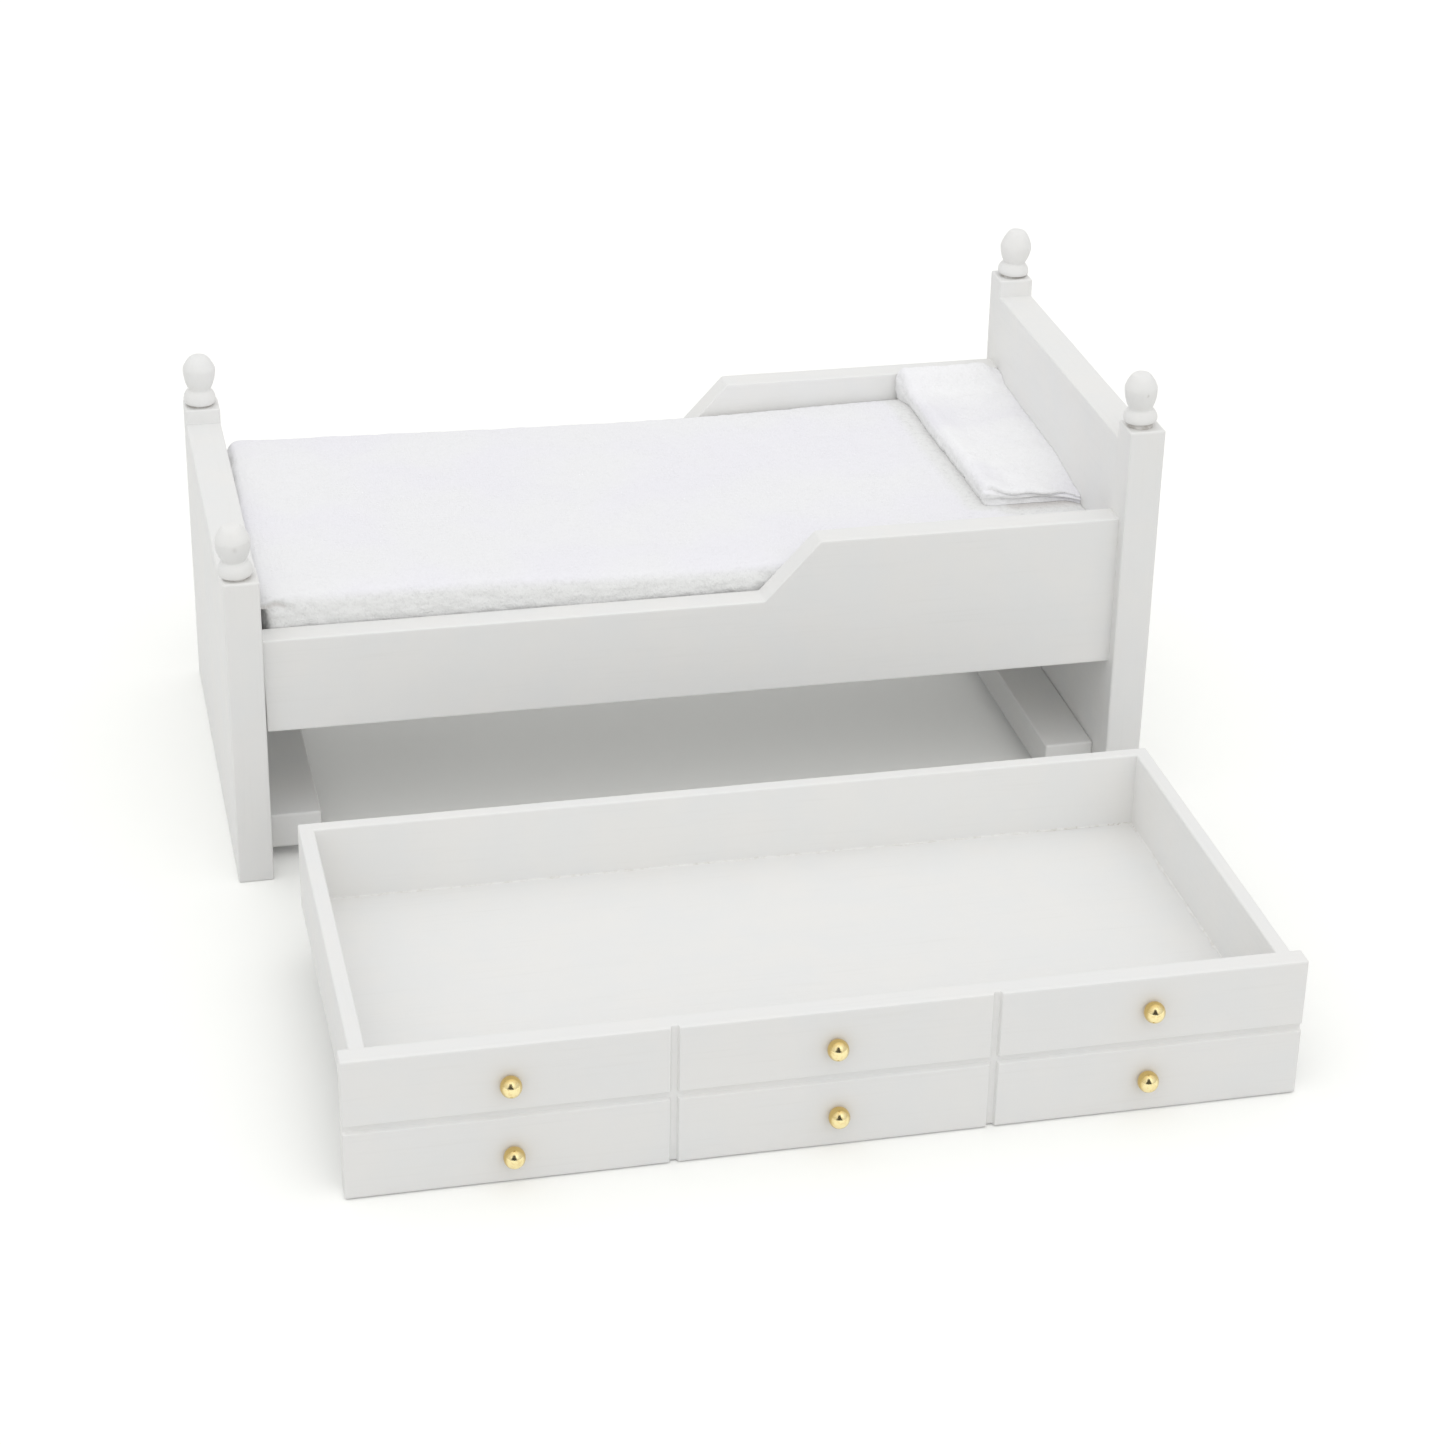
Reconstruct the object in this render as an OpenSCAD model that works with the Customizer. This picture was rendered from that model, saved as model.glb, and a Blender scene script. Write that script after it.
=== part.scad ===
// Trundle bed, dolls' house size (1:12): a panelled single bed on four square posts, with a
// loose mattress and a folded pillow, and a trundle drawer that runs on two blocks under it.
// Millimetres. X runs from the foot (-X) to the head (+X), the front faces -Y, Z is up.
// The drawer is drawn pulled out; it slides home along +Y by drawer_pull.

/* [Bed ends] */
// Length of the bed, over the posts
bed_l = 170.6; // [150:0.1:200]
// Width of the bed, over the posts
bed_w = 88; // [80:1:104]
// Side of the square section of the posts
post_w = 6.7; // [6.4:0.1:8]
// Height of the two posts at the foot
foot_post_h = 59.4; // [57:0.1:66]
// Height of the two posts at the head
head_post_h = 75.9; // [73:0.1:90]
// Distance from the posts' faces back to the faces of the footboard and the headboard
end_board_setback = 0; // [0:0.1:1]
// Height of the footboard's top edge above the floor
footboard_h = 56.5; // [52:0.1:57]
// Height of the headboard's top edge above the floor
headboard_h = 72.5; // [62:0.1:73]

/* [Side rails] */
// Thickness of a side rail
rail_t = 5.2; // [3:0.1:6]
// Distance from the posts' outer faces back to the rail's face
rail_setback = 2.6; // [0.5:0.1:3.4]
// Height of the rail's lower edge above the floor
rail_bottom_z = 28.8; // [26:0.1:31]
// Height of the rail's top edge along its low stretch
rail_low_z = 46.8; // [42:0.1:50]
// Height of the rail's top edge along its high stretch, at the head
rail_high_z = 57.9; // [54:0.1:61]
// Length of the low stretch, from the foot posts to the slope
rail_low_l = 90.6; // [60:0.1:110]
// Length of bed that the slope takes
rail_slope_l = 10.2; // [4:0.1:20]

/* [Mattress board] */
// Side of the square cleats along the inside of the rails
cleat_w = 3; // [2:0.1:4]
// Height of a cleat's underside above the rail's lower edge
cleat_rise = 0.8; // [0:0.1:2]
// Distance from each end of a cleat to the end board
cleat_end_gap = 4; // [1:0.5:20]
// Thickness of the mattress board
platform_t = 2.4; // [1.6:0.1:4]
// Gap round the mattress board
platform_gap = 0.2; // [0.1:0.05:0.6]

/* [Runner blocks] */
// Width of a runner block, from the end board inwards
runner_w = 9.4; // [6:0.1:14]
// Height of a runner block
runner_h = 6.8; // [4:0.1:7]
// Height of the runner blocks' top faces above the floor
runner_top_z = 9.2; // [7.5:0.1:11]
// Distance from the posts' outer faces to the ends of a runner block
runner_setback = 7.5; // [5:0.1:12]

/* [Post finials] */
// Largest diameter of the acorn
acorn_d = 6.2; // [4.5:0.1:6.4]
// Height of the acorn's widest place above the post
acorn_mid_z = 7; // [5:0.1:8]
// Height of the acorn's flat top above the post
finial_h = 10; // [9:0.1:13]
// Diameter of the acorn's flat top
crown_d = 2.8; // [2:0.1:3.4]
// Diameter of the neck below the acorn
neck_d = 4; // [3:0.1:4.2]
// Diameter of the collar
collar_d = 6.3; // [5.6:0.1:6.4]
// Height of the collar
collar_h = 2.3; // [1.6:0.1:2.8]
// Diameter of the foot below the collar
foot_d = 4.8; // [3:0.1:5]
// Height of the foot
foot_h = 0.5; // [0.2:0.1:0.8]
// Diameter of the peg turned on the finial
peg_d = 2; // [1.5:0.1:2.6]
// Length of the peg
peg_l = 3.2; // [2:0.1:6]
// Clearance between the peg and its hole, on the diameter
peg_fit = 0.1; // [0.05:0.05:0.2]

/* [Drawer front] */
// Thickness of the drawer front
drawer_front_t = 3.8; // [3:0.1:4.5]
// Gap between the drawer front and the floor
drawer_floor_gap = 0.2; // [0.1:0.1:1]
// Gap between the shut drawer front and the rail above it
drawer_top_gap = 3.4; // [1:0.1:4]
// Gap between each end of the drawer front and the post beside it
drawer_end_gap = 0.3; // [0.2:0.1:1]
// Gap between the shut drawer front and the ends of the runner blocks
drawer_stop_gap = 0.2; // [0.1:0.1:1]
// Width of the grooves that part the false drawers
groove_w = 1.2; // [0.8:0.1:2]
// Depth of the grooves
groove_depth = 0.7; // [0.3:0.1:1]

/* [Drawer box] */
// Distance that the drawer is pulled out
drawer_pull = 105; // [85:1:125]
// Gap between each side of the drawer box and the post beside it
box_side_gap = 2.1; // [1:0.1:4]
// Distance from the shut drawer box to the outer faces of the back posts
box_back_gap = 8.8; // [1:0.1:20]
// Thickness of the drawer box's sides and back
box_wall_t = 2.6; // [1.6:0.1:4]
// Thickness of the drawer box's bottom
box_bottom_t = 2.2; // [1.2:0.1:4]
// Running clearance between the drawer box and the runner blocks
box_run_gap = 0.1; // [0.05:0.05:0.4]

/* [Knobs] */
// Diameter of a knob's round head
knob_d = 3.5; // [2.5:0.1:4.5]
// Distance from the drawer front to the middle of the head
knob_standoff = 1.25; // [0.8:0.05:2]
// Gap between the head's flat back and the drawer front
knob_back_gap = 0.1; // [0.05:0.05:0.3]
// Diameter of the pin behind the head
knob_pin_d = 0.9; // [0.6:0.1:1.2]
// Length of the pin inside the drawer front
knob_pin_l = 2.4; // [1:0.1:2.6]
// Clearance between the pin and its hole, on the diameter
pin_fit = 0.1; // [0.05:0.05:0.2]

/* [Bedding] */
// Thickness of the mattress
mattress_t = 16.8; // [12:0.1:19]
// Radius of the mattress's corners, seen from above
mattress_corner_r = 3; // [1:0.1:6]
// Radius of the mattress's upper and lower edges
mattress_edge_r = 3.6; // [1:0.1:5.5]
// Gap between the mattress and each rail
mattress_side_gap = 0.4; // [0.3:0.1:2]
// Gap between the mattress and each end board
mattress_end_gap = 0.4; // [0.3:0.1:3]
// Thickness of the pillow where it lies flat
pillow_t = 3.6; // [2:0.1:6]
// Width of the pillow, along the bed
pillow_w = 20.6; // [14:0.1:30]
// Length of the pillow, across the bed
pillow_l = 54.6; // [40:0.1:60]
// Height to which the pillow's end rises at the back rail, above its underside
pillow_rise = 7; // [6.2:0.1:10]
// Length of the pillow's rising end
pillow_rise_l = 13; // [8:0.1:20]
// Gap between the pillow and the headboard, and between the pillow and the back rail
pillow_gap = 0.5; // [0.3:0.1:2]
// Gap between loose bedding and what it lies on
bedding_gap = 0.15; // [0.1:0.05:0.3]

/* [Hidden] */
$fn = 48;

paint = [0.93, 0.93, 0.92];
raw_paint = [0.90, 0.88, 0.84];
cloth = [0.96, 0.96, 0.98];
brass = [0.85, 0.65, 0.25];

// False drawers along the front and up it, with a knob node for each
front_columns = 3;
front_rows = 2;

// The foot is at -1 and the head at +1 along X; the front is at -1 and the back at +1 along Y.
FOOT = -1;
HEAD = 1;
FRONT = -1;
BACK = 1;

// Distances from the bed's front face forwards, with the drawer pulled out
front_face_shut = runner_setback - drawer_stop_gap - drawer_front_t;
knob_reach = knob_standoff + knob_d / 2;
forward_reach = drawer_pull - front_face_shut + knob_reach;

// The origin is on the floor under the middle of the whole, pulled-out object.
bed_front_y = (forward_reach - bed_w) / 2;
bed_mid_y = bed_front_y + bed_w / 2;

post_mid_x = (bed_l - post_w) / 2;
post_mid_y = (bed_w - post_w) / 2;
inner_l = bed_l - 2 * post_w;
end_board_t = post_w - 2 * end_board_setback;
board_face_x = post_mid_x - end_board_t / 2;
board_l = bed_w - 2 * post_w;
rail_face_y = bed_w / 2 - rail_setback - rail_t;

cleat_z = rail_bottom_z + cleat_rise;
platform_z = cleat_z + cleat_w;
mattress_z = platform_z + platform_t + bedding_gap;
pillow_z = mattress_z + mattress_t + bedding_gap;

drawer_top_z = rail_bottom_z - drawer_top_gap;
drawer_front_h = drawer_top_z - drawer_floor_gap;
drawer_front_l = inner_l - 2 * drawer_end_gap;
drawer_face_y = bed_front_y + front_face_shut - drawer_pull;
box_front_y = drawer_face_y + drawer_front_t;
box_l = inner_l - 2 * box_side_gap;
box_w = bed_w - front_face_shut - drawer_front_t - box_back_gap;
box_z = runner_top_z + box_run_gap;
box_h = drawer_top_z - box_z;
panel_l = drawer_front_l / front_columns;
panel_h = drawer_front_h / front_rows;

// Overlap of cutting bodies past the faces that they cut
cut = 1;

// Half a swelling of a turned profile: from z to z + h, standing out from r by swell
function bead(r, swell, z, h, steps = 6) =
    [for (i = [0:steps]) let (a = 180 * i / steps) [r + swell * sin(a), z + h * (1 - cos(a)) / 2]];

// Part of an oval from angle a0 to a1, with half axes rx and rz about [0, z]: a power of 2 is a
// plain ellipse, more makes it fuller and less draws it to a point
function oval(rx, rz, z, a0, a1, power, steps = 10) =
    [for (i = [0:steps])
        let (a = a0 + (a1 - a0) * i / steps, c = max(cos(a), 0), s = sin(a))
        [rx * pow(c, 2 / power), z + sign(s) * rz * pow(abs(s), 2 / power)]];

module rounded_rect(size, r) {
    for (x = [-1, 1], y = [-1, 1])
        translate([x * (size[0] / 2 - r), y * (size[1] / 2 - r)]) circle(r);
    square([size[0] - 2 * r, size[1]], center = true);
    square([size[0], size[1] - 2 * r], center = true);
}

// A square post with the hole for its finial's peg
module post(end, side, h) {
    color(paint)
    translate([end * post_mid_x, bed_mid_y + side * post_mid_y, 0])
    difference() {
        translate([-post_w / 2, -post_w / 2, 0]) cube([post_w, post_w, h]);
        translate([0, 0, h - peg_l - peg_fit]) cylinder(d = peg_d + peg_fit, h = peg_l + peg_fit + cut);
    }
}

// A turned finial: peg, foot, collar, neck and a flat-topped acorn
module finial(end, side, h) {
    collar_swell = 0.9;
    low_power = 2.2;
    top_power = 1.3;
    top_angle = 9;
    neck_z = foot_h + collar_h;
    neck_share = pow(neck_d / acorn_d, low_power);
    neck_angle = -asin(sqrt(1 - neck_share));
    acorn_low = (acorn_mid_z - neck_z) / pow(-sin(neck_angle), 2 / low_power);
    shoulder_w = (acorn_d - crown_d) / 2;
    shoulder = oval(shoulder_w, finial_h - acorn_mid_z, acorn_mid_z, top_angle, 90, top_power);
    color(paint)
    translate([end * post_mid_x, bed_mid_y + side * post_mid_y, h])
    rotate_extrude()
    polygon(concat(
        [[0, -peg_l], [peg_d / 2, -peg_l], [peg_d / 2, 0], [foot_d / 2, 0], [foot_d / 2, foot_h]],
        bead(collar_d / 2 - collar_swell, collar_swell, foot_h, collar_h, 8),
        oval(acorn_d / 2, acorn_low, acorn_mid_z, neck_angle, 0, low_power),
        [for (p = shoulder) p + [crown_d / 2, 0]],
        [[0, finial_h]]));
}

// An end board stands on the floor between two posts
module end_board(end, h) {
    color(paint)
    translate([end * post_mid_x - end_board_t / 2, bed_mid_y - board_l / 2, 0])
    cube([end_board_t, board_l, h]);
}

// A side rail: low beside the sleeper, then sloping up to a high stretch at the head
module side_rail(side) {
    slope_x = -inner_l / 2 + rail_low_l;
    outline = [
        [-inner_l / 2, rail_bottom_z], [inner_l / 2, rail_bottom_z],
        [inner_l / 2, rail_high_z], [slope_x + rail_slope_l, rail_high_z],
        [slope_x, rail_low_z], [-inner_l / 2, rail_low_z]
    ];
    color(paint)
    translate([0, bed_mid_y + side * (rail_face_y + rail_t / 2) + rail_t / 2, 0])
    rotate([90, 0, 0])
    linear_extrude(rail_t) polygon(outline);
}

// A cleat glued to the inside of a rail
module cleat(side) {
    cleat_l = 2 * (board_face_x - cleat_end_gap);
    color(raw_paint)
    translate([-cleat_l / 2, bed_mid_y + side * (rail_face_y - cleat_w / 2) - cleat_w / 2, cleat_z])
    cube([cleat_l, cleat_w, cleat_w]);
}

// The board that carries the mattress
module mattress_board() {
    size = [2 * (board_face_x - platform_gap), 2 * (rail_face_y - platform_gap), platform_t];
    color(raw_paint)
    translate([-size[0] / 2, bed_mid_y - size[1] / 2, platform_z]) cube(size);
}

// A runner block fixed to the inside of an end board
module runner(end) {
    runner_l = bed_w - 2 * runner_setback;
    color(paint)
    translate([end * (board_face_x - runner_w / 2) - runner_w / 2,
        bed_mid_y - runner_l / 2, runner_top_z - runner_h])
    cube([runner_w, runner_l, runner_h]);
}

// The mattress: a block with rounded corners and edges
module mattress() {
    size = [2 * (board_face_x - mattress_end_gap), 2 * (rail_face_y - mattress_side_gap), mattress_t];
    color(cloth)
    translate([0, bed_mid_y, mattress_z + size[2] / 2])
    intersection() {
        linear_extrude(size[2], center = true)
            rounded_rect([size[0], size[1]], mattress_corner_r);
        rotate([90, 0, 0]) linear_extrude(size[1], center = true)
            rounded_rect([size[0], size[2]], mattress_edge_r);
        rotate([90, 0, 90]) linear_extrude(size[0], center = true)
            rounded_rect([size[1], size[2]], mattress_edge_r);
    }
}

// The pillow: flat across the head end, its back end risen against the back rail
module pillow() {
    back_y = rail_face_y - pillow_gap;
    front_y = back_y - pillow_l;
    ease = 0.8;
    outline = [
        [front_y + ease, 0], [back_y, 0], [back_y, pillow_rise - ease], [back_y - ease, pillow_rise],
        [back_y - pillow_rise_l / 2, (pillow_t + pillow_rise) / 2],
        [back_y - pillow_rise_l, pillow_t], [front_y + ease, pillow_t],
        [front_y, pillow_t - ease], [front_y, ease]
    ];
    color(cloth)
    translate([board_face_x - pillow_gap - pillow_w, bed_mid_y, pillow_z])
    rotate([90, 0, 90]) linear_extrude(pillow_w) polygon(outline);
}

// Middle of the false drawer in a column and a row, counted from the foot and the floor
function panel_mid(column, row) = [
    (column + 0.5) * panel_l - drawer_front_l / 2,
    drawer_floor_gap + (row + 0.5) * panel_h
];

// A groove along +X with a rounded floor, cut into a face that looks to -Y
module groove(l) {
    corner = 0.2;
    half = groove_w / 2;
    rotate([90, 0, 90])
    linear_extrude(l, center = true)
    polygon([[-cut, half], [groove_depth - corner, half], [groove_depth, half - corner],
        [groove_depth, corner - half], [groove_depth - corner, -half], [-cut, -half]]);
}

// The drawer front: grooved into false drawers and bored for the knobs' pins
module drawer_front() {
    color(paint)
    translate([0, drawer_face_y, 0])
    difference() {
        translate([-drawer_front_l / 2, 0, drawer_floor_gap])
            cube([drawer_front_l, drawer_front_t, drawer_front_h]);
        for (row = [1:front_rows - 1])
            translate([0, 0, drawer_floor_gap + row * panel_h]) groove(drawer_front_l + 2 * cut);
        for (column = [1:front_columns - 1])
            translate([column * panel_l - drawer_front_l / 2, 0, drawer_floor_gap + drawer_front_h / 2])
            rotate([0, 90, 0]) groove(drawer_front_h + 2 * cut);
        for (column = [0:front_columns - 1], row = [0:front_rows - 1]) {
            mid = panel_mid(column, row);
            translate([mid[0], -cut, mid[1]])
            rotate([-90, 0, 0]) cylinder(d = knob_pin_d + pin_fit, h = knob_pin_l + pin_fit + cut);
        }
    }
}

// The drawer box's back, between the sides
module drawer_back() {
    l = box_l - 2 * box_wall_t;
    color(paint)
    translate([-l / 2, box_front_y + box_w - box_wall_t, box_z]) cube([l, box_wall_t, box_h]);
}

// A side of the drawer box, from the drawer front to the back
module drawer_side(end) {
    color(paint)
    translate([end * (box_l - box_wall_t) / 2 - box_wall_t / 2, box_front_y, box_z])
    cube([box_wall_t, box_w, box_h]);
}

// The drawer box's bottom, flush with the lower edges of its walls
module drawer_bottom() {
    l = box_l - 2 * box_wall_t;
    color(raw_paint)
    translate([-l / 2, box_front_y, box_z]) cube([l, box_w - box_wall_t, box_bottom_t]);
}

// A round-headed pin: a ball with a flat back, and the pin that goes into the drawer front
module knob(column, row) {
    mid = panel_mid(column, row);
    color(brass)
    translate([mid[0], drawer_face_y, mid[1]])
    rotate([90, 0, 0]) {
        intersection() {
            translate([0, 0, knob_standoff]) sphere(d = knob_d);
            translate([0, 0, knob_back_gap]) cylinder(d = knob_d + cut, h = knob_reach + cut);
        }
        translate([0, 0, -knob_pin_l]) cylinder(d = knob_pin_d, h = knob_pin_l + knob_standoff);
    }
}

post(FOOT, FRONT, foot_post_h);  // foot_post_front
post(FOOT, BACK, foot_post_h);  // foot_post_back
post(HEAD, FRONT, head_post_h);  // head_post_front
post(HEAD, BACK, head_post_h);  // head_post_back
finial(FOOT, FRONT, foot_post_h);  // foot_finial_front
finial(FOOT, BACK, foot_post_h);  // foot_finial_back
finial(HEAD, FRONT, head_post_h);  // head_finial_front
finial(HEAD, BACK, head_post_h);  // head_finial_back
end_board(FOOT, footboard_h);  // footboard
end_board(HEAD, headboard_h);  // headboard
side_rail(FRONT);  // side_rail_front
side_rail(BACK);  // side_rail_back
cleat(FRONT);  // cleat_front
cleat(BACK);  // cleat_back
mattress_board();
runner(FOOT);  // runner_foot
runner(HEAD);  // runner_head
mattress();
pillow();
drawer_front();
drawer_back();
drawer_side(FOOT);  // drawer_side_foot
drawer_side(HEAD);  // drawer_side_head
drawer_bottom();
knob(0, 0);  // knob_foot_lower
knob(0, 1);  // knob_foot_upper
knob(1, 0);  // knob_middle_lower
knob(1, 1);  // knob_middle_upper
knob(2, 0);  // knob_head_lower
knob(2, 1);  // knob_head_upper
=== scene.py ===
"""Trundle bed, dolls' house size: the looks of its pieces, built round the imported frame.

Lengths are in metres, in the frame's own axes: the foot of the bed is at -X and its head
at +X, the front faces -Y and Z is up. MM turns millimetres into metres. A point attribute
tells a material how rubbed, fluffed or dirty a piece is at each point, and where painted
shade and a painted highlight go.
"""

import math

import bpy
import numpy as np
from mathutils import Matrix, Vector, noise


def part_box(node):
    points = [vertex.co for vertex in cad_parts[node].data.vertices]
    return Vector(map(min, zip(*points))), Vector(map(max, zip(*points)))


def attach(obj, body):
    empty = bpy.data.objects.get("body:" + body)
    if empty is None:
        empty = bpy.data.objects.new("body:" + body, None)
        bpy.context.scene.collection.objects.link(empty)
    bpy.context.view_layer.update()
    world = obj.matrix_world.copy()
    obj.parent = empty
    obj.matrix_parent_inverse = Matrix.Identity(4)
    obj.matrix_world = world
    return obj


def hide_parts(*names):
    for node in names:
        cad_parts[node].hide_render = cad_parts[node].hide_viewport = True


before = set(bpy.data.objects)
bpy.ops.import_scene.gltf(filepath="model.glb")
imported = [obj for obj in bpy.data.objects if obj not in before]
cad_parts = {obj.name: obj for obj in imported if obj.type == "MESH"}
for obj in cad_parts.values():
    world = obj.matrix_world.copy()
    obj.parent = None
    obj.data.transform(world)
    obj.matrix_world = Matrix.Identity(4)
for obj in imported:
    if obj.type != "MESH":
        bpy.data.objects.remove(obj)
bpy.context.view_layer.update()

MM = 0.001


# ---------------------------------------------------------------- camera, floor and light

LENS_MM = 83.535
SENSOR_MM = 36
CAMERA_PLACE = (-0.11943, -0.52320, 0.30585)
CAMERA_TURN = math.radians(-13.07)
CAMERA_TILT = math.radians(90 - 27.3)
CAMERA_ROLL = math.radians(1.12)


def add(name, data):
    """A new object in the scene."""
    obj = bpy.data.objects.new(name, data)
    bpy.context.scene.collection.objects.link(obj)
    return obj


def camera():
    """A long lens, a little left of the bed's front, looking down on it."""
    data = bpy.data.cameras.new("camera")
    data.sensor_width = SENSOR_MM
    data.lens = LENS_MM
    data.clip_start = 0.01
    data.clip_end = 50
    obj = add("camera", data)
    turn = Matrix.Rotation(CAMERA_TURN, 4, "Z")
    tilt = Matrix.Rotation(CAMERA_TILT, 4, "X")
    roll = Matrix.Rotation(CAMERA_ROLL, 4, "Z")
    obj.matrix_world = Matrix.Translation(CAMERA_PLACE) @ turn @ tilt @ roll
    bpy.context.scene.camera = obj


class Nodes:
    """A short way to write a node tree."""

    def __init__(self, tree):
        self.tree = tree
        tree.nodes.clear()

    def new(self, kind, links=None, **settings):
        """A node with its properties set; links maps an input to a socket or a plain value."""
        node = self.tree.nodes.new("ShaderNode" + kind)
        for key, value in settings.items():
            setattr(node, key, value)
        for key, value in (links or {}).items():
            socket = node.inputs[key]
            if isinstance(value, bpy.types.NodeSocket):
                self.tree.links.new(value, socket)
            else:
                socket.default_value = value
        return node

    def math(self, operation, a, b=0.0, c=0.0):
        """A math operation on up to three sockets or plain values."""
        return self.new("Math", {0: a, 1: b, 2: c}, operation=operation).outputs[0]

    def ramp(self, value, low, high, to_low=0.0, to_high=1.0, smooth=True):
        """value from low..high to to_low..to_high, held at the ends."""
        return self.new(
            "MapRange",
            {"Value": value, 1: low, 2: high, 3: to_low, 4: to_high},
            interpolation_type="SMOOTHSTEP" if smooth else "LINEAR",
        ).outputs["Result"]

    def mix(self, share, a, b):
        """Colour a turning to b as share goes from 0 to 1."""
        return self.new("Mix", {0: share, 6: a, 7: b}, data_type="RGBA").outputs[2]

    def noise(self, where, scale, detail=3.0, rough=0.5, stretch=(1, 1, 1)):
        """Noise with scale features to the unit, drawn out along an axis where stretch is small."""
        moved = self.new("Mapping", {"Vector": where, "Scale": stretch}).outputs[0]
        return self.new(
            "TexNoise", {"Vector": moved, "Scale": scale, "Detail": detail, "Roughness": rough}
        ).outputs["Fac"]


def material(name):
    """A new material and its empty node tree."""
    m = bpy.data.materials.new(name)
    m.use_nodes = True
    return m, Nodes(m.node_tree)


WHITE = (1, 1, 1, 1)
FLOOR_PLAIN = (0.70, 0.70, 0.69, 1)
FLOOR_SEEN = (0.995, 1.0, 0.975, 1)
FLOOR_GLOW = 0.07
FLOOR_HALF = 8


def floor_material():
    """Plain white. The camera and mirrors see it a little over-exposed, as a studio sweep is."""
    m, n = material("floor_white")
    plain = n.new("BsdfDiffuse", {"Color": FLOOR_PLAIN}).outputs[0]
    seen = n.new("BsdfDiffuse", {"Color": FLOOR_SEEN}).outputs[0]
    glow = n.new("Emission", {"Color": WHITE, "Strength": FLOOR_GLOW}).outputs[0]
    lifted = n.new("AddShader", {0: seen, 1: glow}).outputs[0]
    path = n.new("LightPath")
    direct = n.math("MAXIMUM", path.outputs["Is Camera Ray"], path.outputs["Is Glossy Ray"])
    direct = n.math("MAXIMUM", direct, path.outputs["Is Transmission Ray"])
    both = n.new("MixShader", {0: direct, 1: plain, 2: lifted}).outputs[0]
    n.new("OutputMaterial", {"Surface": both})
    return m


# The sky's level all round, and what it gains overhead, behind the camera and at the foot
SKY_LEVEL = 0.72
SKY_TOP = 0.36
SKY_FRONT = 0.60
SKY_FOOT = 0.10
# The way to the bright patch behind the camera, along Y and Z, and how narrow the patch is
FRONT_WAY = (-0.8, 0.6)
FRONT_POWER = 6.0

# The camera and its stand as mirrors see them in a sky of radius 1: the way across them along X
# and Y, their height, half their width at the floor and at the top, and how dark they are
STAND_ACROSS = (0.975, -0.222)
STAND_TOP = 0.85
STAND_HALF_LOW = 0.62
STAND_HALF_TOP = 0.18
STAND_DARK = 0.95


def camera_stand(n, parts):
    """1 where the dark camera and its stand are mirrored, straight in front of the object."""
    across = n.math("ADD", n.math("MULTIPLY", parts["X"], STAND_ACROSS[0]),
                    n.math("MULTIPLY", parts["Y"], STAND_ACROSS[1]))
    wide = n.ramp(parts["Z"], 0.0, STAND_TOP, STAND_HALF_LOW, STAND_HALF_TOP, smooth=False)
    share = n.ramp(n.math("DIVIDE", n.math("ABSOLUTE", across), wide), 0.75, 1.1, 1.0, 0.0)
    share = n.math("MULTIPLY", share, n.ramp(parts["Z"], 0.76, 0.88, 1.0, 0.0))
    return n.math("MULTIPLY", share, n.ramp(parts["Y"], -0.3, -0.1, 1.0, 0.0))


def stage():
    """A white floor under a white sky, which is brightest overhead and behind the camera."""
    mesh = bpy.data.meshes.new("floor")
    corners = ((-1, -1), (1, -1), (1, 1), (-1, 1))
    mesh.from_pydata([(x * FLOOR_HALF, y * FLOOR_HALF, 0) for x, y in corners], [], [(0, 1, 2, 3)])
    floor = add("floor", mesh)
    mesh.materials.append(floor_material())

    world = bpy.data.worlds.new("studio")
    world.use_nodes = True
    n = Nodes(world.node_tree)
    way = n.new("TexCoord").outputs["Generated"]
    parts = n.new("SeparateXYZ", {0: way}).outputs
    up = n.math("MAXIMUM", parts["Z"], 0.0)
    foot = n.math("MINIMUM", parts["X"], 0.0)
    level = n.math("MULTIPLY_ADD", n.math("MULTIPLY", up, up), SKY_TOP, SKY_LEVEL)
    level = n.math("MULTIPLY_ADD", n.math("MULTIPLY", foot, foot), SKY_FOOT, level)
    front = n.math("MULTIPLY_ADD", parts["Y"], FRONT_WAY[0],
                   n.math("MULTIPLY", parts["Z"], FRONT_WAY[1]))
    front = n.math("POWER", n.math("MAXIMUM", front, 0.0), FRONT_POWER)
    level = n.math("MULTIPLY_ADD", front, SKY_FRONT, level)
    path = n.new("LightPath").outputs
    dark = n.math("MULTIPLY", camera_stand(n, parts),
                  n.math("MULTIPLY", path["Is Glossy Ray"], STAND_DARK))
    level = n.math("MULTIPLY", level, n.math("SUBTRACT", 1.0, dark))
    seen = n.math("MAXIMUM", path["Is Camera Ray"], path["Is Transmission Ray"])
    level = n.math("MULTIPLY_ADD", level, n.math("SUBTRACT", 1.0, seen), seen)
    shade = n.new("Background", {"Color": WHITE, "Strength": level}).outputs[0]
    n.new("OutputWorld", {"Surface": shade})
    bpy.context.scene.world = world
    bpy.context.scene.view_settings.view_transform = "Standard"


# ---------------------------------------------------------------- materials

def coordinates(n):
    """The piece's own coordinates, in millimetres."""
    own = n.new("TexCoord").outputs["Object"]
    return n.new("VectorMath", {0: own, "Scale": 1 / MM}, operation="SCALE").outputs[0]


def drawn_out(axis, share):
    """A stretch that draws a noise out along one axis."""
    return tuple(share if axis == a else 1.0 for a in "xyz")


PAINT_COOL = (0.835, 0.838, 0.830, 1)
PAINT_WARM = (0.850, 0.845, 0.828, 1)
PAINT_GRAIN = (0.790, 0.785, 0.765, 1)
PAINT_WORN = (0.880, 0.875, 0.855, 1)
# The last colour is painted shade under a finial's collar, and also its dark spots
PAINT_SHADE_AND_SPOTS = (0.30, 0.26, 0.22, 1)
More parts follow.
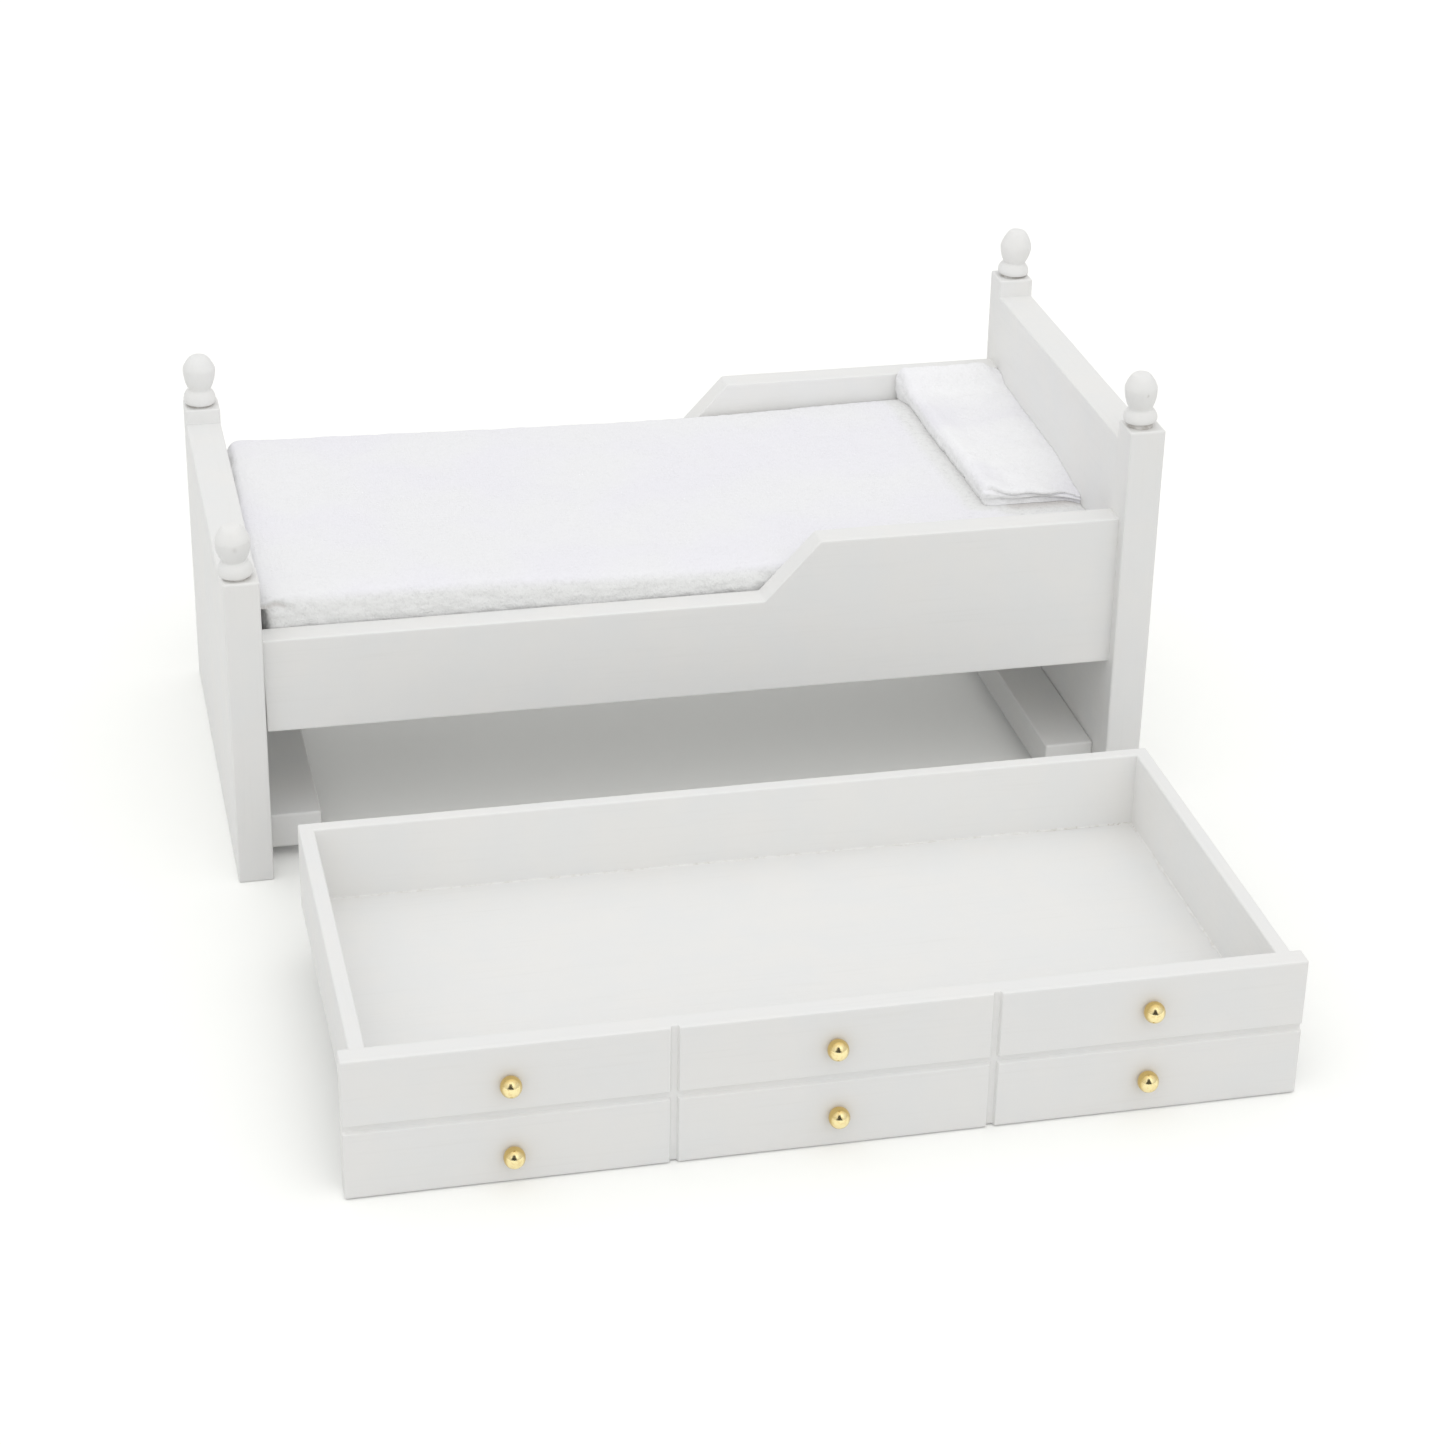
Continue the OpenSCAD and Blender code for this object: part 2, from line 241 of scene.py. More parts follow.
# Each noise in a material: features to the millimetre, octaves, roughness
PAINT_GRAIN_NOISE = (1.6, 4.0, 0.6)
PAINT_PORES = (5.0, 2.0, 0.5)
PAINT_SKIN = (2.4, 2.0, 0.5)
PAINT_CLOUD = (0.09, 3.0, 0.55)
PAINT_RUBBED = (0.45, 4.0, 0.65)
PAINT_SHADE_SPOTS_NOISE = (0.5, 3.0, 0.6)
PAINT_GLOSS = (0.8, 4.0, 0.6)


def paint(axis):
    """Thick white paint over wood whose grain runs along one axis.

    Its point attribute runs from 0 to 1 where the paint is rubbed, and down to -1 for painted shade
    under a finial's collar and for dark spots on two acorns.
    """
    m, n = material("white_paint_" + axis)
    own = coordinates(n)
    grain = n.noise(own, *PAINT_GRAIN_NOISE, drawn_out(axis, 0.035))
    pores = n.noise(own, *PAINT_PORES, drawn_out(axis, 0.06))
    skin = n.noise(own, *PAINT_SKIN)
    cloud = n.noise(own, *PAINT_CLOUD)
    wear_and_painted_light = n.new("Attribute", attribute_name="wear_and_painted_light").outputs["Fac"]
    rub = n.math("MULTIPLY", wear_and_painted_light, n.ramp(n.noise(own, *PAINT_RUBBED), 0.40, 0.66))
    tone = n.mix(n.ramp(cloud, 0.3, 0.7), PAINT_COOL, PAINT_WARM)
    tone = n.mix(n.math("MULTIPLY", n.ramp(grain, 0.52, 0.78), 0.30), tone, PAINT_GRAIN)
    tone = n.mix(n.math("MULTIPLY", n.ramp(pores, 0.66, 0.80), 0.25), tone, PAINT_GRAIN)
    tone = n.mix(n.math("MULTIPLY", rub, 0.35), tone, PAINT_WORN)
    # Painted shade under the finials' collars, and their dark spots, where the point attribute is
    # below 0
    shade_and_spots = n.math("MULTIPLY", n.ramp(wear_and_painted_light, -1.0, 0.0, 0.6, 0.0),
                   n.ramp(n.noise(own, *PAINT_SHADE_SPOTS_NOISE), 0.35, 0.60, 0.4, 1.0))
    tone = n.mix(shade_and_spots, tone, PAINT_SHADE_AND_SPOTS)
    rough = n.ramp(n.noise(own, *PAINT_GLOSS), 0.3, 0.7, 0.36, 0.52)
    height = n.math("ADD", n.math("MULTIPLY", grain, 0.55), n.math("MULTIPLY", skin, 0.35))
    height = n.math("SUBTRACT", height, n.math("MULTIPLY", n.ramp(pores, 0.62, 0.8), 0.25))
    bump = n.new("Bump", {"Strength": 0.35, "Distance": 0.05 * MM, "Height": height}).outputs[0]
    bsdf = n.new("BsdfPrincipled", {"Base Color": tone, "Roughness": rough, "Normal": bump,
                                    "IOR": 1.46, "Specular IOR Level": 0.35})
    n.new("OutputMaterial", {"Surface": bsdf.outputs[0]})
    return m


CLOTH_LILAC = (0.880, 0.873, 0.913, 1)
CLOTH_WHITE = (0.890, 0.890, 0.903, 1)
PILLOW_WHITE = (0.945, 0.945, 0.955, 1)
# Painted shade: a greyer tone where the cloth turns from the sky and in creases, darker hollows in
# the weave, and a painted shadow beside and before the pillow
CLOTH_SHADED_TONE = (0.855, 0.858, 0.852, 1)
CLOTH_HOLLOW_SHADE = (0.70, 0.70, 0.70, 1)
CLOTH_PAINTED_SHADOW = (0.66, 0.62, 0.60, 1)
CLOTH_PATCHES = (0.22, 2.0)
CLOTH_TUFTS = (1.15, 3.0, 0.65)
CLOTH_FUZZ = (2.9, 4.0, 0.7)
CLOTH_CLOUD = (0.05, 2.0)
# From one waffle of the weave to the next, in millimetres
MATTRESS_PITCH = 0.95
PILLOW_PITCH = 0.85


def cloth_material(name, pitch, white):
    """White cotton crepe: a small uneven waffle weave, fluffier where the nap stands up.

    Its point attribute runs from 0 to 1 with the nap, which also paints shade: greyer sides and
    creases, darker hollows in the weave. From 1 on to 2 it paints a shadow beside and before the
    pillow.
    """
    m, n = material(name)
    own = coordinates(n)
    nap = n.new("Attribute", attribute_name="wear_and_painted_light").outputs["Fac"]
    drift = n.new("TexNoise", {"Vector": own, "Scale": 0.35, "Detail": 2.0}).outputs["Color"]
    drift = n.new("VectorMath", {0: drift, 1: (0.5, 0.5, 0.5)}, operation="SUBTRACT").outputs[0]
    drift = n.new("VectorMath", {0: drift, "Scale": 1.4}, operation="SCALE").outputs[0]
    bent = n.new("VectorMath", {0: own, 1: drift}, operation="ADD").outputs[0]
    parts = n.new("SeparateXYZ", {0: bent}).outputs
    turn = 2 * math.pi / pitch
    waves = [n.math("SINE", n.math("MULTIPLY", parts[a], turn)) for a in "XYZ"]
    weave = n.math("ADD", n.math("MULTIPLY", waves[0], waves[1]),
                   n.math("MULTIPLY", waves[0], waves[2]))
    weave = n.math("ADD", weave, n.math("MULTIPLY", waves[1], waves[2]))
    patch = n.ramp(n.noise(own, *CLOTH_PATCHES), 0.35, 0.65, 0.25, 1.0)
    tufts = n.noise(own, *CLOTH_TUFTS)
    fuzz = n.noise(own, *CLOTH_FUZZ)
    height = n.math("MULTIPLY_ADD", n.math("MULTIPLY", weave, patch), 0.13,
                    n.math("MULTIPLY", fuzz, 0.6))
    height = n.math("MULTIPLY_ADD", tufts, n.ramp(nap, 0.0, 0.6, 0.45, 1.5, smooth=False), height)
    bump = n.new("Bump", {"Strength": 0.6, "Distance": 0.26 * MM, "Height": height}).outputs[0]
    cloud = n.ramp(n.noise(own, *CLOTH_CLOUD), 0.35, 0.65)
    tone = n.mix(cloud, CLOTH_LILAC, white)
    # Painted shade: greyer as the nap value rises, darker in the weave's hollows, and a painted
    # shadow from 1 on
    tone = n.mix(n.ramp(nap, 0.15, 0.8), tone, CLOTH_SHADED_TONE)
    hollow = n.ramp(tufts, 0.30, 0.52, 1.0, 0.0)
    deep = n.math("MULTIPLY", hollow, n.ramp(nap, 0.1, 0.7, 0.10, 0.46))
    tone = n.mix(deep, tone, CLOTH_HOLLOW_SHADE)
    tone = n.mix(n.ramp(nap, 1.0, 2.0, smooth=False), tone, CLOTH_PAINTED_SHADOW)
    rough = n.ramp(fuzz, 0.3, 0.7, 0.82, 0.98)
    bsdf = n.new("BsdfPrincipled", {"Base Color": tone, "Roughness": rough, "Normal": bump,
                                    "Specular IOR Level": 0.12, "Sheen Weight": 0.15,
                                    "Sheen Roughness": 0.55, "Sheen Tint": WHITE})
    n.new("OutputMaterial", {"Surface": bsdf.outputs[0]})
    return m


# A painted highlight and painted shade stand in for the knobs' reflections; the dull tone is also
# the colour of the tarnish spots
BRASS_PAINTED_HIGHLIGHT = (0.97, 0.84, 0.47, 1)
BRASS_DULL_SHADE_AND_TARNISH = (0.74, 0.54, 0.20, 1)
BRASS_SPOTS = (1.7, 4.0, 0.6)
BRASS_MARKS = (3.0, 2.0, 0.5)


def brass_material():
    """Brass with tarnish spots; a painted highlight brightens each knob's front and painted shade
    dulls its back.
    """
    m, n = material("brass")
    own = coordinates(n)
    spots = n.noise(own, *BRASS_SPOTS)
    wear_and_painted_light = n.new("Attribute", attribute_name="wear_and_painted_light").outputs["Fac"]
    # Painted highlight at each knob's front, painted shade towards its back
    tone = n.mix(n.ramp(wear_and_painted_light, 0.25, 0.85), BRASS_DULL_SHADE_AND_TARNISH, BRASS_PAINTED_HIGHLIGHT)
    tone = n.mix(n.math("MULTIPLY", n.ramp(spots, 0.45, 0.70), 0.45), tone, BRASS_DULL_SHADE_AND_TARNISH)
    rough = n.ramp(spots, 0.35, 0.75, 0.10, 0.24)
    marks = n.noise(own, *BRASS_MARKS, (1, 8, 1))
    bump = n.new("Bump", {"Strength": 0.25, "Distance": 0.03 * MM, "Height": marks}).outputs[0]
    bsdf = n.new("BsdfPrincipled", {"Base Color": tone, "Roughness": rough, "Normal": bump,
                                    "Metallic": 1.0})
    n.new("OutputMaterial", {"Surface": bsdf.outputs[0]})
    return m


FILLER_CLEAN = (0.86, 0.855, 0.84, 1)
FILLER_CRACKED = (0.78, 0.765, 0.735, 1)
FILLER_BROWN = (0.36, 0.29, 0.22, 1)
FILLER_SPECKS = (0.9, 3.0, 0.6)
FILLER_CRACKS = (0.5, 4.0, 0.7)
FILLER_LUMPS = (3.0, 3.0, 0.6)


def filler_material():
    """Paint that has run over glue: broken and a little dirty, with brown specks.

    Its point attribute is how dirty it is.
    """
    m, n = material("white_paint_filler")
    own = coordinates(n)
    dirt = n.new("Attribute", attribute_name="wear_and_painted_light").outputs["Fac"]
    specks = n.math("MULTIPLY", n.ramp(n.noise(own, *FILLER_SPECKS), 0.55, 0.66), dirt)
    crack = n.ramp(n.noise(own, *FILLER_CRACKS), 0.45, 0.65)
    tone = n.mix(crack, FILLER_CLEAN, FILLER_CRACKED)
    tone = n.mix(n.math("MULTIPLY", specks, 0.8), tone, FILLER_BROWN)
    rough = n.ramp(crack, 0.0, 1.0, 0.45, 0.7)
    lumps = n.noise(own, *FILLER_LUMPS)
    bump = n.new("Bump", {"Strength": 0.5, "Distance": 0.08 * MM, "Height": lumps}).outputs[0]
    bsdf = n.new("BsdfPrincipled", {"Base Color": tone, "Roughness": rough, "Normal": bump})
    n.new("OutputMaterial", {"Surface": bsdf.outputs[0]})
    return m


# ---------------------------------------------------------------- mesh tools

def smooth_step(x, low, high):
    """0 up to low, 1 beyond high, and an even curve between."""
    t = np.clip((x - low) / (high - low), 0, 1)
    return t * t * (3 - 2 * t)


def hill(distance, width):
    """1 at no distance, falling to 0 over about twice the width."""
    return np.exp(-(distance / width) ** 2)


def quarter_round(t):
    """How far a quarter circle has turned away: 0 at its start, 1 at its end."""
    return 1 - np.sqrt(1 - t * t)


def piece(name, verts, faces, surface, body, stands_for=(), wear_and_painted_light=None):
    """A smooth-shaded mesh that rides on a body and stands for CAD nodes."""
    mesh = bpy.data.meshes.new(name)
    mesh.from_pydata([tuple(v) for v in verts], [], [tuple(f) for f in faces])
    mesh.materials.append(surface)
    mesh.polygons.foreach_set("use_smooth", [True] * len(mesh.polygons))
    if wear_and_painted_light is not None:
        layer = mesh.attributes.new("wear_and_painted_light", "FLOAT", "POINT")
        layer.data.foreach_set("value", wear_and_painted_light.astype(np.float32))
    mesh.update()
    obj = add(name, mesh)
    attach(obj, body)
    if stands_for:
        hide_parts(*stands_for)
    return obj


NO_LINES = ((), (), ())
ARRIS_ANGLES = (45, 30, 15, 0)
ARRIS_MARGIN = 0.4 * MM
# The share that block gives as its last result is 1 where a normal is at 45 degrees to two axes
HALF_TURNED = 0.29


def axis_lines(low, high, radius, cell, extra):
    """Grid lines along one axis of a block: close over its rounded arrises, even between them."""
    length = high - low
    edge = [radius * (1 - math.tan(math.radians(a))) for a in ARRIS_ANGLES]
    edge.append(radius + ARRIS_MARGIN)
    count = max(1, round((length - 2 * edge[-1]) / cell))
    even = [edge[-1] + (length - 2 * edge[-1]) * i / count for i in range(1, count)]
    even = [e for e in even if all(abs(low + e - x) > 0.35 * cell for x in extra)]
    lines = edge + even + [length - e for e in edge]
    return np.array(sorted([low + e for e in lines] + list(extra)))


def block(low, high, radius, cell, extra=NO_LINES):
    """A box with rounded arrises: its vertices, outward normals, quads and arris share.

    radius is one length, or one for each axis, which makes the roundings oval. extra holds the
    places of more grid lines along each axis.
    """
    low, high = np.array(low, float), np.array(high, float)
    radius = np.broadcast_to(radius, 3)
    lines = [axis_lines(low[a], high[a], radius[a], cell, extra[a]) for a in range(3)]
    keys, quads, start = [], [], 0
    for a in range(3):
        u, v = (a + 1) % 3, (a + 2) % 3
        nu, nv = len(lines[u]), len(lines[v])
        for side in (0, len(lines[a]) - 1):
            key = np.zeros((nu, nv, 3), int)
            key[..., a] = side
            key[..., u], key[..., v] = np.meshgrid(range(nu), range(nv), indexing="ij")
            index = start + np.arange(nu * nv).reshape(nu, nv)
            ring = [index[:-1, :-1], index[1:, :-1], index[1:, 1:], index[:-1, 1:]]
            if side == 0:
                ring.reverse()
            quads.append(np.stack(ring, -1).reshape(-1, 4))
            keys.append(key.reshape(-1, 3))
            start += nu * nv
    unique, inverse = np.unique(np.concatenate(keys), axis=0, return_inverse=True)
    faces = inverse.reshape(-1)[np.concatenate(quads)]
    flat = np.stack([lines[a][unique[:, a]] for a in range(3)], 1)
    core = np.clip(flat, low + radius, high - radius)
    way = (flat - core) / radius
    way /= np.linalg.norm(way, axis=1)[:, None]
    points = core + radius * way
    out = way / radius
    out /= np.linalg.norm(out, axis=1)[:, None]
    turned = np.clip((1 - np.abs(out).max(1)) / HALF_TURNED, 0, 1)
    return points, out, faces, turned


def waver(points, size, seed):
    """Smooth noise from about -1 to 1 over points, with features of the given size."""
    start = Vector((seed, 0, -seed))
    return np.array([noise.noise(Vector(p) / size + start) for p in points])


def seed_of(name):
    """A seed of its own for each name."""
    return sum(ord(c) * (i + 1) for i, c in enumerate(name)) % 97 + 0.37


# How uneven a board is, in millimetres, and over what length: its faces, and its brush marks,
# which are stronger along the arrises
FACE_UNEVEN, FACE_WAVE = 0.045, 14 * MM
BRUSH_UNEVEN, BRUSH_WAVE = 0.02, 3.5 * MM


def board(node, axis, body, radius=0.35 * MM, cell=4 * MM, extra=NO_LINES, shape=None,
          sunk=((0, 0, 0), (0, 0, 0)), flat_x=1.0):
    """A painted board in the place of a CAD node, its faces and arrises a little uneven.

    sunk lengthens it into its neighbours at its low and high ends, where paint hides the joint.
    flat_x is how much of the unevenness its faces towards X keep.
    """
    low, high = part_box(node)
    low, high = low - Vector(sunk[0]), high + Vector(sunk[1])
    points, out, faces, arris = block(low, high, radius, cell, extra)
    seed = seed_of(node)
    if shape is not None:
        points = shape(points, low, high)
    brushed = BRUSH_UNEVEN * waver(points, BRUSH_WAVE, seed + 5) * (0.4 + arris)
    uneven = FACE_UNEVEN * waver(points, FACE_WAVE, seed) + brushed
    points = points + out * (uneven * MM)[:, None] * (flat_x, 1, 1)
    return piece(node + "_painted", points, faces, PAINTS[axis], body, [node], arris)


# ---------------------------------------------------------------- the bed frame

RAIL_LOW_Z = 46.8 * MM
SLOPE_START_X = 12.0 * MM
SLOPE_END_X = 22.2 * MM
SLOPE_SOFT = 0.25 * MM
# The cut keeps this much of the rail's rounded edges as they are
RAIL_EDGE = 0.8 * MM
# The front rail's joint at the foot has come open: how far, how far along the rail that
# pulls its paint, between which heights over the rail's lower edge it closes, and what stays open
CRACK = 0.28 * MM
CRACK_REACH = 3 * MM
CRACK_CLOSES = (2 * MM, 15 * MM)
CRACK_LEAST = 0.25
# The front post at the foot is narrower than the others by this
PLANED = 0.3 * MM
SUNK = 0.6 * MM
RAIL_SUNK = 0.2 * MM
END_BOARD_FLAT = 0.3


def soft_climb(x, low, high, soft):
    """0 up to low, rising straight to high - low beyond high, its two bends rounded."""
    def bend(t):
        inside = np.clip(t, -soft, soft)
        return np.where(t > soft, t, (inside + soft) ** 2 / (4 * soft))
    return bend(x - low) - bend(x - high)


def rail_shape(crack):
    """Cuts a block down to the low stretch and the slope, and opens the joint at the foot."""
    def shape(points, low, high):
        points = points.copy()
        run = SLOPE_END_X - SLOPE_START_X
        climb = soft_climb(points[:, 0], SLOPE_START_X, SLOPE_END_X, SLOPE_SOFT) / run
        drop = (high[2] - RAIL_LOW_Z) * (1 - climb)
        share = (points[:, 2] - low[2] - RAIL_EDGE) / (high[2] - low[2] - 2 * RAIL_EDGE)
        points[:, 2] -= drop * np.clip(share, 0, 1)
        if crack:
            near = 1 - np.clip((points[:, 0] - low[0]) / CRACK_REACH, 0, 1)
            closes, closed = (low[2] + z for z in CRACK_CLOSES)
            open_low = 1 - smooth_step(points[:, 2], closes, closed)
            points[:, 0] += crack * near * (CRACK_LEAST + (1 - CRACK_LEAST) * open_low)
        return points
    return shape


def bed_frame():
    """Posts, end boards, rails, and what is under the mattress and under the drawer."""
    board("foot_post_front", "z", "bed", sunk=((0, 0, 0), (-PLANED, 0, 0)))
    for post in ("foot_post_back", "head_post_front", "head_post_back"):
        board(post, "z", "bed")
    for end_board in ("footboard", "headboard"):
        board(end_board, "y", "bed", sunk=((0, SUNK, 0), (0, SUNK, 0)), flat_x=END_BOARD_FLAT)
    bends = [x + d * MM for x in (SLOPE_START_X, SLOPE_END_X) for d in (-0.3, 0, 0.3)]
    for side, crack, gained in (("front", CRACK, PLANED), ("back", 0, 0)):
        board(f"side_rail_{side}", "x", "bed", 0.3 * MM, 3 * MM, (bends, (), ()),
              rail_shape(crack), ((gained, 0, 0), (RAIL_SUNK, 0, 0)))
        board(f"cleat_{side}", "x", "bed", 0.25 * MM)
    board("mattress_board", "x", "bed", 0.3 * MM, 6 * MM)
    for end in ("foot", "head"):
        board(f"runner_{end}", "y", "bed", 0.4 * MM)


def lathe(profile, turns):
    """Rings round Z from (radius, z) points; the first and last points close on the axis."""
    angles = 2 * math.pi * np.arange(turns) / turns
    rings = [np.stack([r * np.cos(angles), r * np.sin(angles), np.full(turns, z)], 1)
             for r, z in profile[1:-1]]
    verts = np.concatenate(rings + [[[0, 0, profile[0][1]], [0, 0, profile[-1][1]]]])
    faces = []
    count = len(rings)
    for i in range(count - 1):
        for j in range(turns):
            k = (j + 1) % turns
            faces.append((i * turns + j, i * turns + k, (i + 1) * turns + k, (i + 1) * turns + j))
    low, top = count * turns, count * turns + 1
    for j in range(turns):
        k = (j + 1) % turns
        faces.append((low, k, j))
        faces.append((top, (count - 1) * turns + j, (count - 1) * turns + k))
    return verts, faces


def oval(rx, rz, z, start, end, power, steps):
    """Part of an oval about (0, z), from one angle to another; a low power draws it to a point."""
    points = []
    for a in np.radians(np.linspace(start, end, steps)):
        c, s = max(math.cos(a), 0), math.sin(a)
        points.append((rx * c ** (2 / power), z + math.copysign(rz * abs(s) ** (2 / power), s)))
    return points


# Finials, in millimetres
FINIAL_FOOT_R = 2.3
FINIAL_PEG = 0.5
COLLAR_R = 3.1
COLLAR_SWELL = 0.9
COLLAR_HOLLOW = 1.3
COLLAR_SAG = 1.5
NECK_R = 1.95
CROWN_R = 1.4
ACORN_LOW_POWER, ACORN_TOP_POWER = 2.0, 1.35
# Height over the foot in which the painted shade under a collar fades out, in millimetres
COLLAR_SHADE_H = 0.3
FINIAL_TURNS = 56
# Each finial as it was turned and glued on, in millimetres: off the post's middle, lean in
# degrees, foot height, neck height, the acorn's radius, its widest place and its flat top
FINIALS = {
    "foot_finial_front": (-0.7, -2.9, 0.36, 3.1, 3.15, 7.0, 9.7),
    "foot_finial_back": (-0.3, 1.5, 0.34, 3.1, 3.12, 7.4, 9.95),
    "head_finial_front": (-0.5, -2.7, 0.95, 3.3, 3.0, 7.4, 10.1),
    "head_finial_back": (0.1, 3.6, 0.36, 2.7, 3.08, 6.2, 9.4),
}
# Dark spots on two acorns: degrees round the acorn, height, radius, strength
SPECKS = {
    "foot_finial_front": (-88, 6.4, 0.75, 0.6),
    "head_finial_front": (-83, 6.8, 0.35, 1.0),
}


def collar(foot_h, neck_z):
    """A bell, widest low down and hollowed towards the neck."""
    points = []
    for a in np.linspace(0, math.pi, 16):
        swell = COLLAR_SWELL * math.sin(a) ** (1 if a < math.pi / 2 else COLLAR_HOLLOW)
        points.append((COLLAR_R - COLLAR_SWELL + swell,
                       foot_h + (neck_z - foot_h) * ((1 - math.cos(a)) / 2) ** COLLAR_SAG))
    return points


def speck(node, verts):
    """How dark a finial's spot makes each point."""
    if node not in SPECKS:
        return 0
    angle, z, radius, strength = SPECKS[node]
    r = np.hypot(verts[:, 0], verts[:, 1])
    turned = np.arctan2(verts[:, 1], verts[:, 0]) - math.radians(angle)
    away = np.hypot(r * turned, verts[:, 2] - z * MM)
    return strength * hill(away, radius * MM)


def finial_profile(foot_h, neck_z, acorn_r, acorn_mid, top):
    """Foot, collar, neck and an acorn that is round below and blunt above."""
    sine = math.sqrt(1 - (NECK_R / acorn_r) ** ACORN_LOW_POWER)
    depth = (acorn_mid - neck_z) / sine ** (2 / ACORN_LOW_POWER)
    start = -math.degrees(math.asin(sine))
    points = [(0, -FINIAL_PEG), (FINIAL_FOOT_R, -FINIAL_PEG), (FINIAL_FOOT_R, foot_h - 0.05)]
    points += collar(foot_h, neck_z)
    points += oval(acorn_r, depth, acorn_mid, start, 0, ACORN_LOW_POWER, 14)[1:]
    shoulder = oval(acorn_r - CROWN_R, top - acorn_mid, acorn_mid, 0, 90, ACORN_TOP_POWER, 18)
    points += [(r + CROWN_R, z) for r, z in shoulder[1:-1]]
    return points + [(CROWN_R, top - 0.02), (CROWN_R * 0.7, top + 0.05), (0, top + 0.1)]


def finial(node):
    """A turned finial under thick paint, glued on a little askew."""
    low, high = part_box(node)
    post_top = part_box(node.replace("finial", "post"))[1].z
    shift, lean, foot_h, neck_z, acorn_r, acorn_mid, top = FINIALS[node]
    profile = finial_profile(foot_h, neck_z, acorn_r, acorn_mid, top)
    verts, faces = lathe([(r * MM, z * MM) for r, z in profile], FINIAL_TURNS)
    seed = seed_of(node)
    away = verts * (1, 1, 0)
    away = away / np.maximum(np.linalg.norm(away, axis=1), 0.2 * MM)[:, None]
    push = 0.05 * waver(verts, 3 * MM, seed) + 0.03 * waver(verts, 1.2 * MM, seed)
    wear_and_painted_light = np.clip(verts[:, 2] / (top * MM), 0, 1) ** 4
    # Painted shade on the foot and the collar's underside
    wear_and_painted_light -= 1 - smooth_step(verts[:, 2], foot_h * MM, (foot_h + COLLAR_SHADE_H) * MM)
    wear_and_painted_light -= speck(node, verts)
    verts = verts + away * (push * MM)[:, None]
    tilt = np.array(Matrix.Rotation(math.radians(lean), 3, "Y"))
    mid = np.array(((low.x + high.x) / 2 + shift * MM, (low.y + high.y) / 2, post_top))
    return piece(node + "_painted", verts @ tilt.T + mid, faces, PAINTS["z"], "bed",
                 [node], wear_and_painted_light)


# ---------------------------------------------------------------- the drawer

GROOVE_HALF = 0.62 * MM
GROOVE_LIP = 0.16 * MM
GROOVE_DEPTH = 0.75 * MM
# Where a groove's wall gets grid lines, in lips from its middle
GROOVE_LINES = (-1.6, -1, -0.7, -0.3, 0, 0.3, 0.7, 1, 1.6)
# How far into the board a groove pulls its mesh, and the grid lines that follow
GROOVE_REACH = 2.4 * MM
REACH_LINES = (1.4 * MM, 2.2 * MM)


def drawer_front():
    """The drawer's front board, grooved into six false drawers."""
    low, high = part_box("drawer_front")
    third = (high.x - low.x) / 3
    upright = [low.x + third, low.x + 2 * third]
    level = (low.z + high.z) / 2
    side = np.array(GROOVE_LINES) * GROOVE_LIP + GROOVE_HALF
    steps = np.concatenate([-side[::-1], [-0.5 * GROOVE_HALF, 0, 0.5 * GROOVE_HALF], side])
    extra = ([x + s for x in upright for s in steps], [low.y + y for y in REACH_LINES],
             [level + s for s in steps])

    def channel(distance):
        return 1 - smooth_step(np.abs(distance), GROOVE_HALF - GROOVE_LIP, GROOVE_HALF + GROOVE_LIP)

    def shape(points, low, high):
        cut = channel(points[:, 2] - level)
        for x in upright:
            cut = np.maximum(cut, channel(points[:, 0] - x))
        reach = 1 - np.clip((points[:, 1] - low[1]) / GROOVE_REACH, 0, 1)
        points = points.copy()
        uneven = 1 + 0.15 * waver(points, 9 * MM, 3.1)
        points[:, 1] += GROOVE_DEPTH * cut * reach * uneven
        return points

    board("drawer_front", "x", "drawer", 0.3 * MM, 3 * MM, extra, shape)


# From one row of the filler's points to the next, the points in a row, and its height off the floor
FILLER_STEP = 0.7 * MM
FILLER_RING = 5
FILLER_LIFT = 0.012 * MM
# The filler is dirtiest in the drawer's back corner at the head, and how fast that fades
DIRT_REACH = 6 * MM
DIRT_LEAST = 0.10


def glue_line():
    """The uneven bead of filler along the drawer's floor, where it meets the back and sides."""
    low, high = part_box("drawer_bottom")
    lines = [((low.x, high.y), (high.x, high.y), (0, -1)),
             ((high.x, high.y), (high.x, low.y), (-1, 0)),
             ((low.x, low.y), (low.x, high.y), (1, 0))]
    last = FILLER_RING - 1
    verts, faces, dirt = [], [], []
    for seed, (start, end, inward) in enumerate(lines):
        count = round(math.dist(start, end) / FILLER_STEP)
        first = len(verts)
        for i in range(count + 1):
            t = i / count
            x, y = start[0] + (end[0] - start[0]) * t, start[1] + (end[1] - start[1]) * t
            broad = noise.noise(Vector((i * 0.23, seed * 9.1, 0)))
            fine = noise.noise(Vector((i * 0.9, seed * 3.3, 5)))
            w = max(0.34 + 0.30 * broad + 0.14 * fine, 0.08) * MM
            h = (0.30 + 0.25 * noise.noise(Vector((i * 0.31, seed * 5.7, 9)))) * MM
            from_corner = math.dist((x, y), (high.x, high.y)) / DIRT_REACH
            dirt += [DIRT_LEAST + (1 - DIRT_LEAST) * math.exp(-from_corner)] * FILLER_RING
            for k in range(FILLER_RING):
                a = math.pi / 2 * k / last
                dx = w * (1 - math.sin(a)) if k < last else 0
                dz = h * (1 - math.cos(a)) if k > 0 else 0
                verts.append((x + inward[0] * dx, y + inward[1] * dx, high.z + dz + FILLER_LIFT))
        for i in range(count):
            for k in range(last):
                a = first + i * FILLER_RING + k
                faces.append((a, a + 1, a + 1 + FILLER_RING, a + FILLER_RING))
    piece("drawer_filler", verts, faces, filler_material(), "drawer",
          wear_and_painted_light=np.array(dirt))


